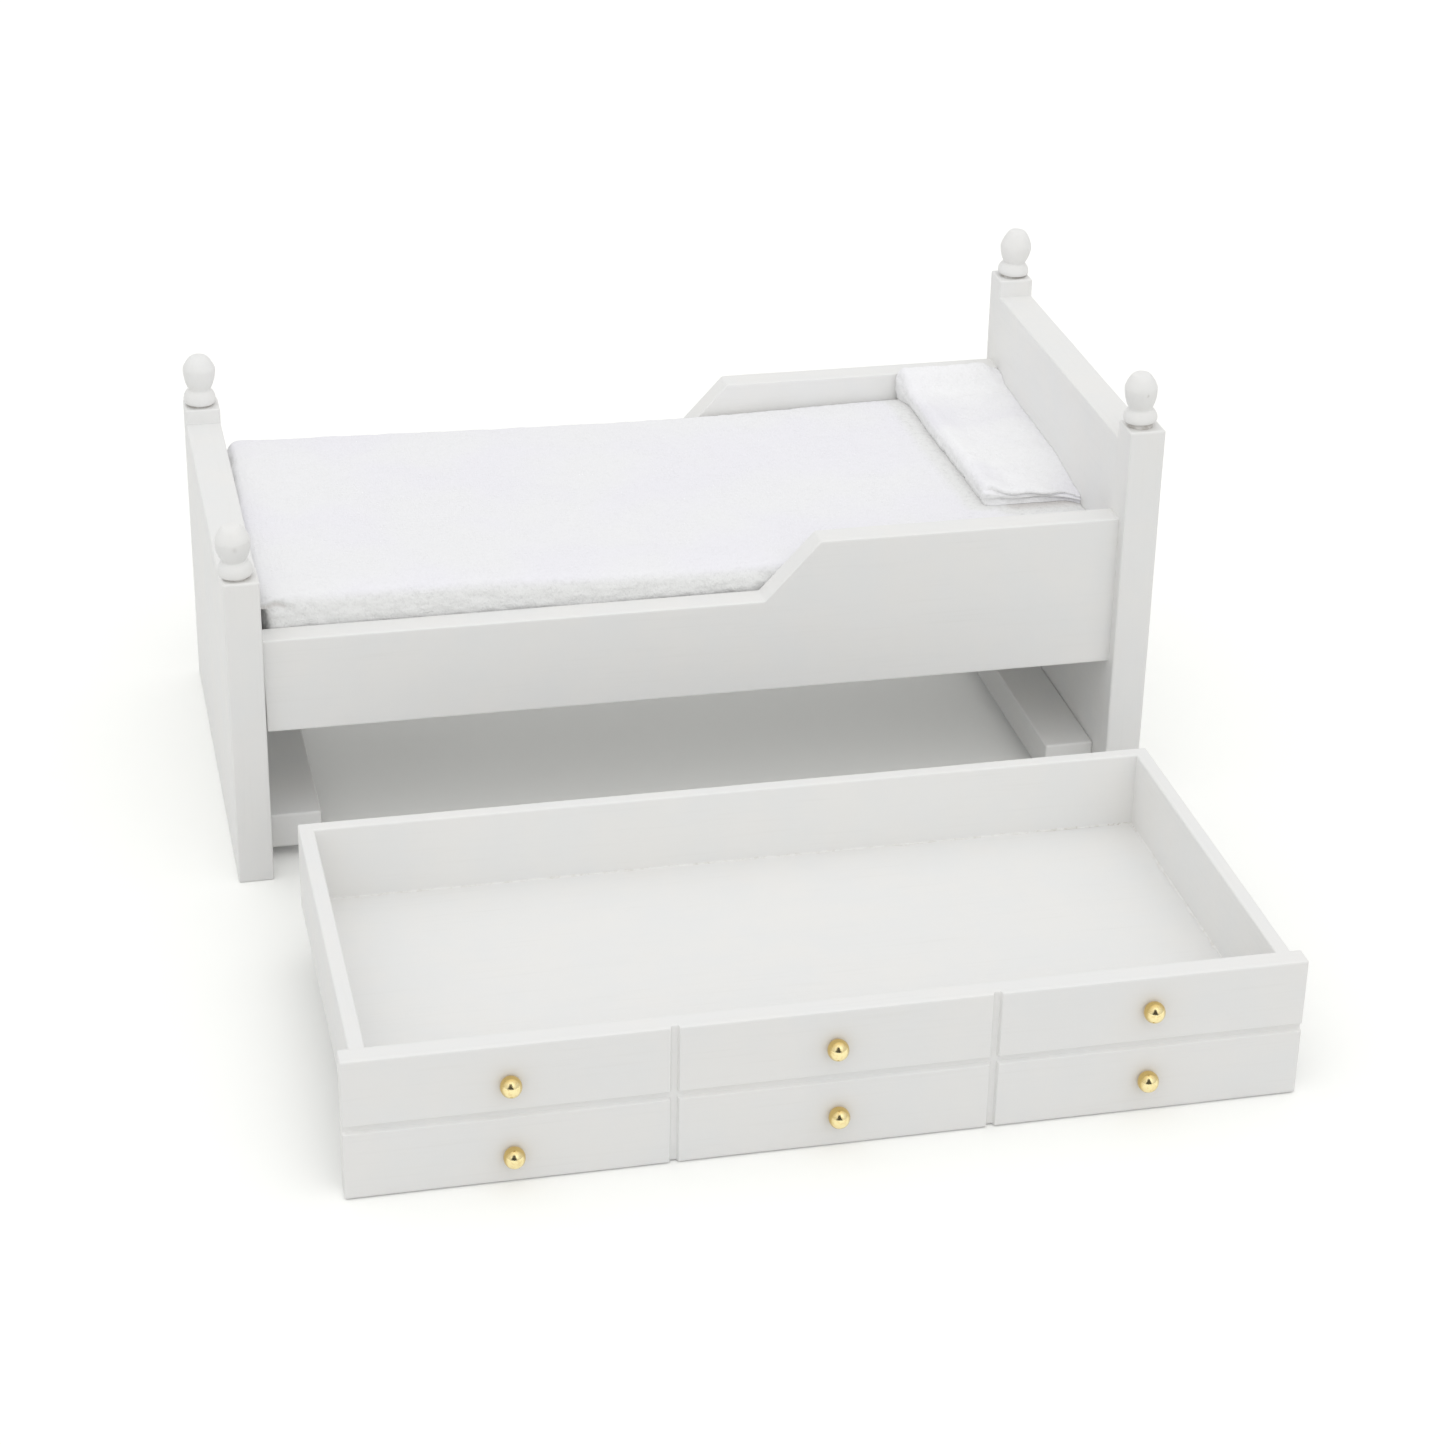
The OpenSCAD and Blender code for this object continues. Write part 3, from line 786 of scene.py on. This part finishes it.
def drawer_box():
    """The drawer's front, back, two sides and floor."""
    drawer_front()
    board("drawer_back", "x", "drawer", 0.3 * MM, sunk=((SUNK, 0, 0), (SUNK, 0, 0)))
    for side in ("foot", "head"):
        board(f"drawer_side_{side}", "y", "drawer", 0.3 * MM, sunk=((0, SUNK, 0), (0, 0, 0)))
    board("drawer_bottom", "x", "drawer", 0.15 * MM)
    glue_line()


# How far each knob's pin was pushed in off its mark, in millimetres across and up
KNOBS = {
    "knob_foot_upper": (0.0, -0.5),
    "knob_foot_lower": (0.4, -1.1),
    "knob_middle_upper": (-0.2, -0.2),
    "knob_middle_lower": (0.4, -0.4),
    "knob_head_upper": (-0.15, 0.5),
    "knob_head_lower": (-0.2, -0.1),
}
KNOB_TURNS = 48
KNOB_TALLER = 1.05
# The bead's flat back behind its middle, and its pin, which widens where it leaves the bead
KNOB_BACK = 1.15 * MM
PIN_R = 0.46 * MM
PIN_L = 1.0 * MM


def knob(node):
    """A brass bead on a pin."""
    low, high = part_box(node)
    radius = (high.x - low.x) / 2
    last = math.pi / 2 + math.asin(KNOB_BACK / radius)
    edge = radius * math.sin(last)
    profile = [(0, -radius)]
    profile += [(radius * math.sin(a), -radius * math.cos(a))
                for a in np.linspace(0.08, last - 0.12, 30)]
    profile += [(edge - 0.05 * MM, KNOB_BACK - 0.03 * MM), (edge - 0.16 * MM, KNOB_BACK),
                (0.62 * MM, KNOB_BACK), (0.50 * MM, KNOB_BACK + 0.05 * MM),
                (PIN_R, KNOB_BACK + 0.2 * MM), (PIN_R, KNOB_BACK + PIN_L), (0, KNOB_BACK + PIN_L)]
    verts, faces = lathe(profile, KNOB_TURNS)
    # Painted highlight: 1 at the bead's front, falling to 0 at its widest ring and behind it
    wear_and_painted_light = np.clip(-verts[:, 2] / radius, 0, 1)
    laid = np.stack([verts[:, 0], verts[:, 2], -verts[:, 1] * KNOB_TALLER], 1)
    across, up = KNOBS[node]
    mid = np.array([(low.x + high.x) / 2 + across * MM, low.y + radius,
                    (low.z + high.z) / 2 + up * MM])
    return piece(node + "_brass", laid + mid, faces, BRASS, "drawer", [node], wear_and_painted_light)


# ---------------------------------------------------------------- the bedding

PUFF_SCALE = 12
PUFF_FRAMES = 20


def cloth_puff(obj, pressure, cap):
    """Blows the piece up a little with a cloth simulation, made at PUFF_SCALE times its size.

    cap is the farthest each point may move: 0 keeps a point where it rests on a neighbour.
    """
    before = np.array([v.co for v in obj.data.vertices])
    big = before * PUFF_SCALE
    obj.data.vertices.foreach_set("co", big.reshape(-1))
    sim = obj.modifiers.new("cloth", "CLOTH")
    sim.settings.quality = 5
    sim.settings.use_pressure = True
    sim.settings.uniform_pressure_force = pressure
    sim.settings.tension_stiffness = 30
    sim.settings.bending_stiffness = 2
    sim.settings.effector_weights.gravity = 0
    sim.collision_settings.use_self_collision = False
    sim.point_cache.frame_end = PUFF_FRAMES
    scene = bpy.context.scene
    for f in range(1, PUFF_FRAMES + 1):
        scene.frame_set(f)
    graph = bpy.context.evaluated_depsgraph_get()
    after = np.array([v.co for v in obj.evaluated_get(graph).data.vertices]) / PUFF_SCALE
    obj.modifiers.remove(sim)
    scene.frame_set(1)
    move = after - before
    far = np.linalg.norm(move, axis=1)
    move *= np.minimum(1, cap / np.maximum(far, 1e-9))[:, None]
    obj.data.vertices.foreach_set("co", (before + move).reshape(-1))
    obj.data.update()


def subdivide(obj, levels):
    """Replaces the piece's mesh with its subdivision surface."""
    mod = obj.modifiers.new("finer", "SUBSURF")
    mod.levels = mod.render_levels = levels
    graph = bpy.context.evaluated_depsgraph_get()
    mesh = bpy.data.meshes.new_from_object(obj.evaluated_get(graph))
    obj.modifiers.remove(mod)
    old = obj.data
    obj.data = mesh
    bpy.data.meshes.remove(old)
    mesh.name = obj.name


def vertex_arrays(obj):
    """The piece's points and their normals."""
    count = len(obj.data.vertices)
    points, out = np.zeros(count * 3), np.zeros(count * 3)
    obj.data.vertices.foreach_get("co", points)
    obj.data.vertices.foreach_get("normal", out)
    return points.reshape(-1, 3), out.reshape(-1, 3)


def crease_pressed(obj, pressed):
    """Faces all of whose points are pressed on a neighbour end in a sharp edge."""
    for face in obj.data.polygons:
        face.use_smooth = not all(pressed[v] for v in face.vertices)


def crepe(points, out, seed, amount):
    """The small puckers of crepe cloth, along the normals; amount may differ between points."""
    big = waver(points, 5.5 * MM, seed)
    small = waver(points, 2.0 * MM, seed + 11)
    fine = waver(points, 1.1 * MM, seed + 23)
    return points + out * (amount * MM * (0.10 * big + 0.13 * small + 0.11 * fine))[:, None]


def dress(obj, points, nap):
    """Sets a cloth piece's final points and how far its nap stands up at each, which also sets its
    painted shade.
    """
    obj.data.vertices.foreach_set("co", points.reshape(-1))
    obj.data.attributes["wear_and_painted_light"].data.foreach_set("value", nap.astype(np.float32))
    obj.data.update()


# The mattress's gaps to the two end boards, and how far its block runs on past the headboard:
# pressed flat on it, the cover meets it without an arris
FOOT_GAP = 0.05 * MM
HEAD_GAP = 0.04 * MM
PAST_HEADBOARD = 2 * MM
MATTRESS_ARRIS = 1.5 * MM
MATTRESS_CELL = 3.3 * MM
# The farthest that the simulation may move a point of it
MATTRESS_PUFF = 0.3 * MM
# Its front edge rolls down over this width, and its far corner at the foot is rounded by this
EDGE_ROLL = 4.0 * MM
CORNER_ROUND = 3.0 * MM
# The cover's front corner at the foot is tucked in under a lip at this height
TUCK = 2.3 * MM
TUCK_LIP = 49.9 * MM
TUCK_LINES = (3.0 * MM, 2.4 * MM)
CREASE_DEPTH = 0.9 * MM
# How far the nap value is raised in the tuck's crease, as painted shade, and as painted shadow
# along the pillow and before its open end
CREASE_NAP_AND_SHADE = 1.5
PILLOW_SIDE_SHADOW = 1.15
PILLOW_END_SHADOW = 1.65


def mattress_top(x, y):
    """Height of the mattress's upper face: highest at the foot and the back, crowned between."""
    low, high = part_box("mattress")
    along = (x - low.x) / (high.x - low.x)
    across = (y - low.y) / (high.y - low.y)
    front = 0.6 - 1.2 * smooth_step(along, 0.18, 0.48)
    back = 1.75 - 1.5 * smooth_step(along, -0.05, 0.55) + 0.8 * smooth_step(along, 0.6, 0.85)
    crown = 0.4 * np.sin(np.pi * np.clip(across, 0, 1))
    crown = crown * np.sin(np.pi * np.clip(along, 0, 1)) ** 0.5
    return high.z + MM * (front + (back - front) * across + crown)


def mattress_block(foot_x, head_x):
    """The mattress before it is puffed: a block with a crowned top and a rolled front edge."""
    low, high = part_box("mattress")
    points, _, faces, _ = block(
        (foot_x, low.y, low.z), (head_x + PAST_HEADBOARD, high.y, high.z), MATTRESS_ARRIS,
        MATTRESS_CELL, ((), (), [high.z - z for z in TUCK_LINES]))
    x, y, z = (points[:, a].copy() for a in range(3))
    share = smooth_step(z, low.z + 4 * MM, high.z - 1.5 * MM)
    roll = np.clip(1 - (y - low.y) / EDGE_ROLL, 0, 1)
    drop = EDGE_ROLL * quarter_round(roll) * 0.45
    points[:, 2] = z + share * (mattress_top(x, y) - high.z - drop)
    far = np.clip(1 - (high.y - y) / CORNER_ROUND, 0, 1)
    inward = 0.8 * MM * smooth_step(y, 55 * MM, 80 * MM) + CORNER_ROUND * quarter_round(far) * 0.8
    inward *= (np.clip(1 - (x - foot_x) / (6 * MM), 0, 1)
               * smooth_step(z, high.z - 3.2 * MM, high.z - 0.3 * MM))
    points[:, 0] += inward
    return points, faces


def tuck_corner(points, out, foot_x, front_y):
    """Tucks the cover in at the foot's front corner, and gives how deep its crease is."""
    from_corner = (points[:, 0] - foot_x) / MM
    front = 1 - smooth_step(points[:, 1], front_y + 1 * MM, front_y + 9 * MM)
    near = hill(from_corner, 1.2) * front
    below = 1 - smooth_step(points[:, 2], TUCK_LIP - 0.4 * MM, TUCK_LIP + 0.7 * MM)
    upper = smooth_step(points[:, 2], TUCK_LIP - 1.0 * MM, TUCK_LIP + 1.0 * MM)
    points[:, 2] -= 0.9 * MM * hill(from_corner, 1.5) * front * upper
    arch = 0.8 * hill(from_corner - 3.0, 1.6)
    crease = hill((points[:, 2] - TUCK_LIP) / MM - arch, 0.75) * front
    crease *= (1 - smooth_step(from_corner, 4.0, 7.0)) * smooth_step(-out[:, 1], 0.1, 0.5)
    points[:, 1] += CREASE_DEPTH * crease
    points[:, :2] += TUCK * (near * below)[:, None] * (0.3, 1.0)
    return crease


def mattress_nap_and_shade(points, out, crease):
    """The nap of the cover, up on its sides and in the crease, which also paints shade there, and a
    painted shadow beside the pillow's fold and before its open end.
    """
    pillow_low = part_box("pillow")[0]
    # Painted shade on the sides and in the crease; painted shadow beside the pillow's fold and
    # before its open end
    nap = np.maximum(1 - np.clip(out[:, 2], 0, 1), CREASE_NAP_AND_SHADE * crease)
    beside = (points[:, 0] - pillow_left(points[:, 1])) / MM
    before = (pillow_low.y + PILLOW_FRONT - points[:, 1]) / MM
    upward = smooth_step(out[:, 2], 0.5, 0.9)
    shadow_beside_pillow = PILLOW_SIDE_SHADOW * np.exp(-(beside / 3.5) ** 2 - (np.maximum(before, 0) / 2.0) ** 2)
    shadow_before_pillow = PILLOW_END_SHADOW * hill(before, 4.5) * smooth_step(beside, 0.0, 2.0)
    shadow_before_pillow *= smooth_step(points[:, 0], 60 * MM, 66 * MM)
    return np.maximum(nap, upward * np.maximum(shadow_beside_pillow, shadow_before_pillow))


def mattress():
    """A foam block in a crepe cover, filled to the foot and the rails and a little crowned."""
    low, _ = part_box("mattress")
    pillow_low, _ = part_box("pillow")
    foot_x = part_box("footboard")[1].x + FOOT_GAP
    head_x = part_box("headboard")[0].x - HEAD_GAP
    points, faces = mattress_block(foot_x, head_x)
    cotton = cloth_material("mattress_cotton", MATTRESS_PITCH, CLOTH_WHITE)
    obj = piece("mattress_cover", points, faces, cotton, "mattress", ["mattress"],
                np.zeros(len(points)))
    bare = smooth_step(-points[:, 0], -pillow_low.x + 2 * MM, -pillow_low.x + 8 * MM)
    bare *= smooth_step(points[:, 0], foot_x + 1 * MM, foot_x + 8 * MM)
    cloth_puff(obj, 4, MATTRESS_PUFF * bare)
    subdivide(obj, 2)
    points, out = vertex_arrays(obj)
    crease = tuck_corner(points, out, foot_x, low.y)
    nap = mattress_nap_and_shade(points, out, crease)
    covered = smooth_step(points[:, 0], pillow_low.x - 2 * MM, pillow_low.x)
    covered *= smooth_step(points[:, 1], pillow_low.y - 3 * MM, pillow_low.y - 1 * MM)
    sides = np.clip((1 - out[:, 2]) * 2, 0, 1)
    points = crepe(points, out, 3.3, (0.6 + 1.1 * sides) * (1 - covered))
    points[:, 0] = np.clip(points[:, 0], foot_x, head_x)
    points[:, 2] = np.maximum(points[:, 2], low.z)
    dress(obj, points, nap)
    crease_pressed(obj, (points[:, 0] >= head_x) | (points[:, 2] <= low.z))


# The pillow's height at its fold and at its back end, and its ends against its CAD box
PILLOW_CREST = 3.9 * MM
PILLOW_BACK_RISE = 6.6 * MM
PILLOW_FRONT = 0.8 * MM
PILLOW_BACK = 0.3 * MM
# Its gaps to the headboard, the rail and the mattress
PILLOW_GAP = 0.03 * MM
PILLOW_RAIL_GAP = 0.08 * MM
PILLOW_REST_GAP = 0.04 * MM
PILLOW_PUFF = 0.15 * MM
PILLOW_CELL = 1.4 * MM
FOLD_ROUND = 1.9 * MM
OPEN_ROUND = 0.7 * MM
# Heights of the creases between the three layers, as shares of the crest, and the grid lines
# round each, in millimetres
CREASES = (0.36, 0.68)
CREASE_LINES = (-0.4, -0.2, 0, 0.2, 0.4)
# Places of the small hollows in the top of the pillow: shares of its width and length
DIMPLES = ((0.16, 0.10), (0.36, 0.09), (0.30, 0.55))
DIMPLE_DEPTH = 0.35 * MM
DIMPLE_R = 1.6 * MM


def pillow_left(y):
    """X of the pillow's folded edge at a y: it lies askew."""
    low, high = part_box("pillow")
    t = (y - low.y) / (high.y - low.y)
    return low.x + MM * (2.2 - 1.4 * smooth_step(t, 0.0, 0.75) - 1.3 * smooth_step(t, 0.9, 1.0))


def layer_edges(u, w):
    """How far each layer's edge is set back at the open end, at u across and w up, in mm."""
    top_edge = 1.5 * (1 - smooth_step(u, 0.0, 0.28)) + 0.8 * smooth_step(u, 0.6, 0.9) - 0.9
    top_edge += 0.3 * np.sin(u * 17)
    back = 0.4 * smooth_step(w, 0.0, 0.2) - 0.2
    back += (0.2 * np.sin(u * 11 + 1) - 0.5) * smooth_step(w, 0.28, 0.42)
    back += (top_edge - back) * smooth_step(w, 0.61, 0.75)
    for c in CREASES:
        back += 0.6 * hill((w - c) * PILLOW_CREST, 0.25 * MM) * smooth_step(u, 0.05, 0.2)
    return back - 1.6 * smooth_step(u, 0.86, 1.0)


def pillow_thickness(u, t):
    """From the mattress to the pillow's top, at u across and t along: most on the back rail."""
    flat = 3.9 - 0.5 * t - 1.1 * smooth_step(u, 0.05, 0.35) - 0.4 * smooth_step(u, 0.4, 1.0)
    at_wall = 3.45 - 1.75 * (1 - smooth_step(t, -0.02, 0.32))
    flat += (at_wall - flat) * smooth_step(u, 0.5, 1.0)
    raised = PILLOW_BACK_RISE - 1.4 * MM * smooth_step(u, 0.9, 1.0)
    return flat * MM + (raised - flat * MM) * smooth_step(t, 0.89, 0.985)


def pillow_block(wall):
    """The pillow before it is puffed: its points, faces, and how far across and up each point is.

    The block starts below the cloth it lies on and ends past the headboard: pressed flat on
    both, it meets them without an arris.
    """
    low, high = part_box("pillow")
    start, end = low.y + PILLOW_FRONT, high.y + PILLOW_BACK
    size = (wall - low.x + FOLD_ROUND, end - start, PILLOW_CREST)
    lips = [PILLOW_CREST * c + d * MM for c in CREASES for d in CREASE_LINES]
    points, _, faces, _ = block((0, 0, -FOLD_ROUND), size, (FOLD_ROUND, OPEN_ROUND, FOLD_ROUND),
                                PILLOW_CELL, ((), (), lips))
    u = points[:, 0] / (wall - low.x)
    t = points[:, 1] / size[1]
    w = np.clip(points[:, 2] / PILLOW_CREST, 0, 1)
    sunk = np.minimum(points[:, 2], 0)
    near = np.clip(1 - points[:, 1] / (3.5 * MM), 0, 1)
    y = start + points[:, 1] + near * layer_edges(u, w) * MM
    left = pillow_left(y)
    right = wall - 1.5 * MM * smooth_step(t, 0.9, 1.0)
    tucked_in = 0.45 * MM * (1 - smooth_step(w, 0.0, 0.35)) * (1 - smooth_step(u, 0.0, 0.2))
    x = left + tucked_in + np.minimum(u, 1) * (right - left) + np.maximum(u - 1, 0) * size[0]
    z = mattress_top(x, y) + sunk + w * pillow_thickness(u, t)
    for across, along in DIMPLES:
        away = np.hypot((u - across) * size[0], (t - along) * size[1])
        z -= DIMPLE_DEPTH * hill(away, DIMPLE_R) * smooth_step(w, 0.6, 1.0)
    return np.stack([x, y, z], 1), faces, u, w


def pillow():
    """A cloth folded in three, its fold to the foot of the bed and its back end up on the rail."""
    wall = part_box("headboard")[0].x - PILLOW_GAP
    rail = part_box("side_rail_back")[0].y - PILLOW_RAIL_GAP
    points, faces, u, w = pillow_block(wall)
    cotton = cloth_material("pillow_cotton", PILLOW_PITCH, PILLOW_WHITE)
    obj = piece("pillow_folded_cloth", points, faces, cotton, "pillow", ["pillow"],
                np.zeros(len(points)))
    cloth_puff(obj, 2, PILLOW_PUFF * smooth_step(w, 0.2, 0.6) * (u < 0.95))
    subdivide(obj, 2)
    points, out = vertex_arrays(obj)
    # The nap value also paints the pillow's sides greyer, as painted shade
    nap = 1 - np.clip(out[:, 2], 0, 1)
    loose = smooth_step(out[:, 2], -0.7, -0.2)
    points = points + out * (0.22 * MM * loose * waver(points, 12 * MM, 5.2))[:, None]
    points = crepe(points, out, 8.1, (0.8 + 0.5 * nap) * loose)
    points[:, 0] = np.minimum(points[:, 0], wall)
    points[:, 1] = np.minimum(points[:, 1], rail)
    rest = mattress_top(points[:, 0], points[:, 1]) + PILLOW_REST_GAP
    pressed = (points[:, 0] >= wall) | (points[:, 2] <= rest)
    points[:, 2] = np.maximum(points[:, 2], rest)
    dress(obj, points, nap * 0.7)
    crease_pressed(obj, pressed)


camera()
stage()
PAINTS = {axis: paint(axis) for axis in "xyz"}
BRASS = brass_material()
bed_frame()
for end in ("foot", "head"):
    for side in ("front", "back"):
        finial(f"{end}_finial_{side}")
drawer_box()
for column in ("foot", "middle", "head"):
    for row in ("lower", "upper"):
        knob(f"knob_{column}_{row}")
mattress()
pillow()
